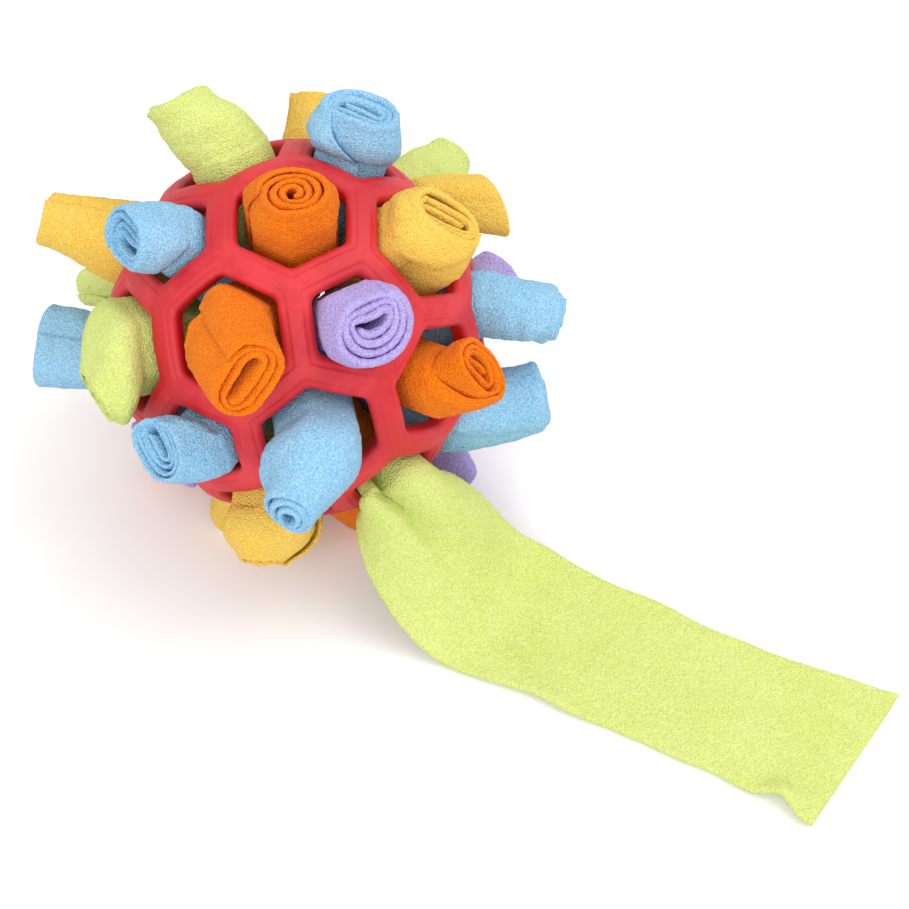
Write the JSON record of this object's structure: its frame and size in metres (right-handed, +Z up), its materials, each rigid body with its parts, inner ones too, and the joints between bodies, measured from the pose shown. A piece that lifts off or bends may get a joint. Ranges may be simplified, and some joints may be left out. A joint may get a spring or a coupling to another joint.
{
  "type": "plush snuffle toy",
  "caption": "Hollow rubber lattice ball with rolled fleece strips tucked into every hole, a strip pulled out flat on the floor, used to hide small food for a pet to sniff out.",
  "frame": {"origin": "middle of the base of the whole toy's bounding box, on the floor that the foot rolls and the pulled-out strip lie on", "axes": "+Z up; +X to the side that the pulled-out strip runs to, the toy's long way; -Y towards the side that it comes out of"},
  "size_m": [0.2256, 0.1898, 0.1203],
  "materials": {
    "red_rubber": "satin",
    "blue_fleece": "fuzzy fleece",
    "lime_fleece": "fuzzy fleece",
    "orange_fleece": "fuzzy fleece",
    "purple_fleece": "fuzzy fleece",
    "yellow_fleece": "fuzzy fleece"
  },
  "bodies": {
    "lattice_ball": {"lattice_ball": "red_rubber"},
    "blue_roll_front_left": {"blue_roll_front_left": "blue_fleece"},
    "blue_roll_left": {"blue_roll_left": "blue_fleece"},
    "blue_roll_lower_front": {"blue_roll_lower_front": "blue_fleece"},
    "blue_roll_lower_right": {"blue_roll_lower_right": "blue_fleece"},
    "blue_roll_right": {"blue_roll_right": "blue_fleece"},
    "blue_roll_top": {"blue_roll_top": "blue_fleece"},
    "blue_roll_upper_left": {"blue_roll_upper_left": "blue_fleece"},
    "lime_foot_roll_center": {"lime_foot_roll_center": "lime_fleece"},
    "lime_roll_back_right": {"lime_roll_back_right": "lime_fleece"},
    "lime_roll_front_left": {"lime_roll_front_left": "lime_fleece"},
    "lime_roll_lower_left": {"lime_roll_lower_left": "lime_fleece"},
    "lime_roll_top_back": {"lime_roll_top_back": "lime_fleece"},
    "lime_tail": {"lime_tail": "lime_fleece"},
    "orange_foot_roll_front": {"orange_foot_roll_front": "orange_fleece"},
    "orange_foot_roll_left": {"orange_foot_roll_left": "orange_fleece"},
    "orange_foot_roll_rear": {"orange_foot_roll_rear": "orange_fleece"},
    "orange_roll_back": {"orange_roll_back": "orange_fleece"},
    "orange_roll_crown": {"orange_roll_crown": "orange_fleece"},
    "orange_roll_front_right": {"orange_roll_front_right": "orange_fleece"},
    "orange_roll_upper_front": {"orange_roll_upper_front": "orange_fleece"},
    "purple_foot_roll_back": {"purple_foot_roll_back": "purple_fleece"},
    "purple_foot_roll_right": {"purple_foot_roll_right": "purple_fleece"},
    "purple_roll_front": {"purple_roll_front": "purple_fleece"},
    "purple_roll_low_left": {"purple_roll_low_left": "purple_fleece"},
    "purple_roll_lower_back": {"purple_roll_lower_back": "purple_fleece"},
    "purple_roll_lower_right": {"purple_roll_lower_right": "purple_fleece"},
    "yellow_foot_roll_front": {"yellow_foot_roll_front": "yellow_fleece"},
    "yellow_roll_left": {"yellow_roll_left": "yellow_fleece"},
    "yellow_roll_low_front": {"yellow_roll_low_front": "yellow_fleece"},
    "yellow_roll_rear": {"yellow_roll_rear": "yellow_fleece"},
    "yellow_roll_right_rear": {"yellow_roll_right_rear": "yellow_fleece"},
    "yellow_roll_upper_right": {"yellow_roll_upper_right": "yellow_fleece"}
  },
  "joints": [
    {"name": "blue_roll_front_left_pull", "type": "slide", "parent": "lattice_ball", "child": "blue_roll_front_left", "axis": [-0.4423, -0.8939, 0.0736], "range_m": [0, 0.045]},
    {"name": "blue_roll_left_pull", "type": "slide", "parent": "lattice_ball", "child": "blue_roll_left", "axis": [-0.9878, -0.0242, -0.1537], "range_m": [0, 0.045]},
    {"name": "blue_roll_lower_front_pull", "type": "slide", "parent": "lattice_ball", "child": "blue_roll_lower_front", "axis": [0.1848, -0.9652, 0.1852], "range_m": [0, 0.045]},
    {"name": "blue_roll_lower_right_pull", "type": "slide", "parent": "lattice_ball", "child": "blue_roll_lower_right", "axis": [0.8747, -0.2568, -0.411], "range_m": [0, 0.045]},
    {"name": "blue_roll_right_pull", "type": "slide", "parent": "lattice_ball", "child": "blue_roll_right", "axis": [0.9878, 0.0242, 0.1537], "range_m": [0, 0.045]},
    {"name": "blue_roll_top_pull", "type": "slide", "parent": "lattice_ball", "child": "blue_roll_top", "axis": [0.3095, 0.4175, 0.8543], "range_m": [0, 0.045]},
    {"name": "blue_roll_upper_left_pull", "type": "slide", "parent": "lattice_ball", "child": "blue_roll_upper_left", "axis": [-0.5743, -0.1499, 0.8048], "range_m": [0, 0.045]},
    {"name": "lime_foot_roll_center_pull", "type": "slide", "parent": "lattice_ball", "child": "lime_foot_roll_center", "axis": [-0.0398, 0.1482, -0.9882], "range_m": [0, 0.045]},
    {"name": "lime_roll_back_right_pull", "type": "slide", "parent": "lattice_ball", "child": "lime_roll_back_right", "axis": [0.4423, 0.8939, -0.0736], "range_m": [0, 0.045]},
    {"name": "lime_roll_front_left_pull", "type": "slide", "parent": "lattice_ball", "child": "lime_roll_front_left", "axis": [-0.8408, -0.448, 0.304], "range_m": [0, 0.045]},
    {"name": "lime_roll_lower_left_pull", "type": "slide", "parent": "lattice_ball", "child": "lime_roll_lower_left", "axis": [-0.7846, 0.5801, -0.2188], "range_m": [0, 0.045]},
    {"name": "lime_roll_top_back_pull", "type": "slide", "parent": "lattice_ball", "child": "lime_roll_top_back", "axis": [-0.3305, 0.4421, 0.8339], "range_m": [0, 0.045]},
    {"name": "lime_tail_pull", "type": "slide", "parent": "lattice_ball", "child": "lime_tail", "axis": [0.554, -0.8325, 0], "range_m": [0, 0.045]},
    {"name": "orange_foot_roll_front_pull", "type": "slide", "parent": "lattice_ball", "child": "orange_foot_roll_front", "axis": [0.3305, -0.4421, -0.8339], "range_m": [0, 0.045]},
    {"name": "orange_foot_roll_left_pull", "type": "slide", "parent": "lattice_ball", "child": "orange_foot_roll_left", "axis": [-0.695, 0.0751, -0.7151], "range_m": [0, 0.045]},
    {"name": "orange_foot_roll_rear_pull", "type": "slide", "parent": "lattice_ball", "child": "orange_foot_roll_rear", "axis": [0.2756, 0.6983, -0.6607], "range_m": [0, 0.045]},
    {"name": "orange_roll_back_pull", "type": "slide", "parent": "lattice_ball", "child": "orange_roll_back", "axis": [-0.5232, 0.7862, 0.3288], "range_m": [0, 0.045]},
    {"name": "orange_roll_crown_pull", "type": "slide", "parent": "lattice_ball", "child": "orange_roll_crown", "axis": [0.0398, -0.1482, 0.9882], "range_m": [0, 0.045]},
    {"name": "orange_roll_front_right_pull", "type": "slide", "parent": "lattice_ball", "child": "orange_roll_front_right", "axis": [0.7846, -0.5801, 0.2188], "range_m": [0, 0.045]},
    {"name": "orange_roll_upper_front_pull", "type": "slide", "parent": "lattice_ball", "child": "orange_roll_upper_front", "axis": [-0.2756, -0.6983, 0.6607], "range_m": [0, 0.045]},
    {"name": "purple_foot_roll_back_pull", "type": "slide", "parent": "lattice_ball", "child": "purple_foot_roll_back", "axis": [-0.3595, 0.6209, -0.6966], "range_m": [0, 0.045]},
    {"name": "purple_foot_roll_right_pull", "type": "slide", "parent": "lattice_ball", "child": "purple_foot_roll_right", "axis": [0.5743, 0.1499, -0.8048], "range_m": [0, 0.045]},
    {"name": "purple_roll_front_pull", "type": "slide", "parent": "lattice_ball", "child": "purple_roll_front", "axis": [0.3595, -0.6209, 0.6966], "range_m": [0, 0.045]},
    {"name": "purple_roll_low_left_pull", "type": "slide", "parent": "lattice_ball", "child": "purple_roll_low_left", "axis": [-0.7297, -0.5602, -0.392], "range_m": [0, 0.045]},
    {"name": "purple_roll_lower_back_pull", "type": "slide", "parent": "lattice_ball", "child": "purple_roll_lower_back", "axis": [-0.1848, 0.9652, -0.1852], "range_m": [0, 0.045]},
    {"name": "purple_roll_lower_right_pull", "type": "slide", "parent": "lattice_ball", "child": "purple_roll_lower_right", "axis": [0.8408, 0.448, -0.304], "range_m": [0, 0.045]},
    {"name": "yellow_foot_roll_front_pull", "type": "slide", "parent": "lattice_ball", "child": "yellow_foot_roll_front", "axis": [-0.3095, -0.4175, -0.8543], "range_m": [0, 0.045]},
    {"name": "yellow_roll_left_pull", "type": "slide", "parent": "lattice_ball", "child": "yellow_roll_left", "axis": [-0.8747, 0.2568, 0.411], "range_m": [0, 0.045]},
    {"name": "yellow_roll_low_front_pull", "type": "slide", "parent": "lattice_ball", "child": "yellow_roll_low_front", "axis": [-0.0959, -0.8799, -0.4654], "range_m": [0, 0.045]},
    {"name": "yellow_roll_rear_pull", "type": "slide", "parent": "lattice_ball", "child": "yellow_roll_rear", "axis": [0.0959, 0.8799, 0.4654], "range_m": [0, 0.045]},
    {"name": "yellow_roll_right_rear_pull", "type": "slide", "parent": "lattice_ball", "child": "yellow_roll_right_rear", "axis": [0.7297, 0.5602, 0.392], "range_m": [0, 0.045]},
    {"name": "yellow_roll_upper_right_pull", "type": "slide", "parent": "lattice_ball", "child": "yellow_roll_upper_right", "axis": [0.695, -0.0751, 0.7151], "range_m": [0, 0.045]}
  ]
}
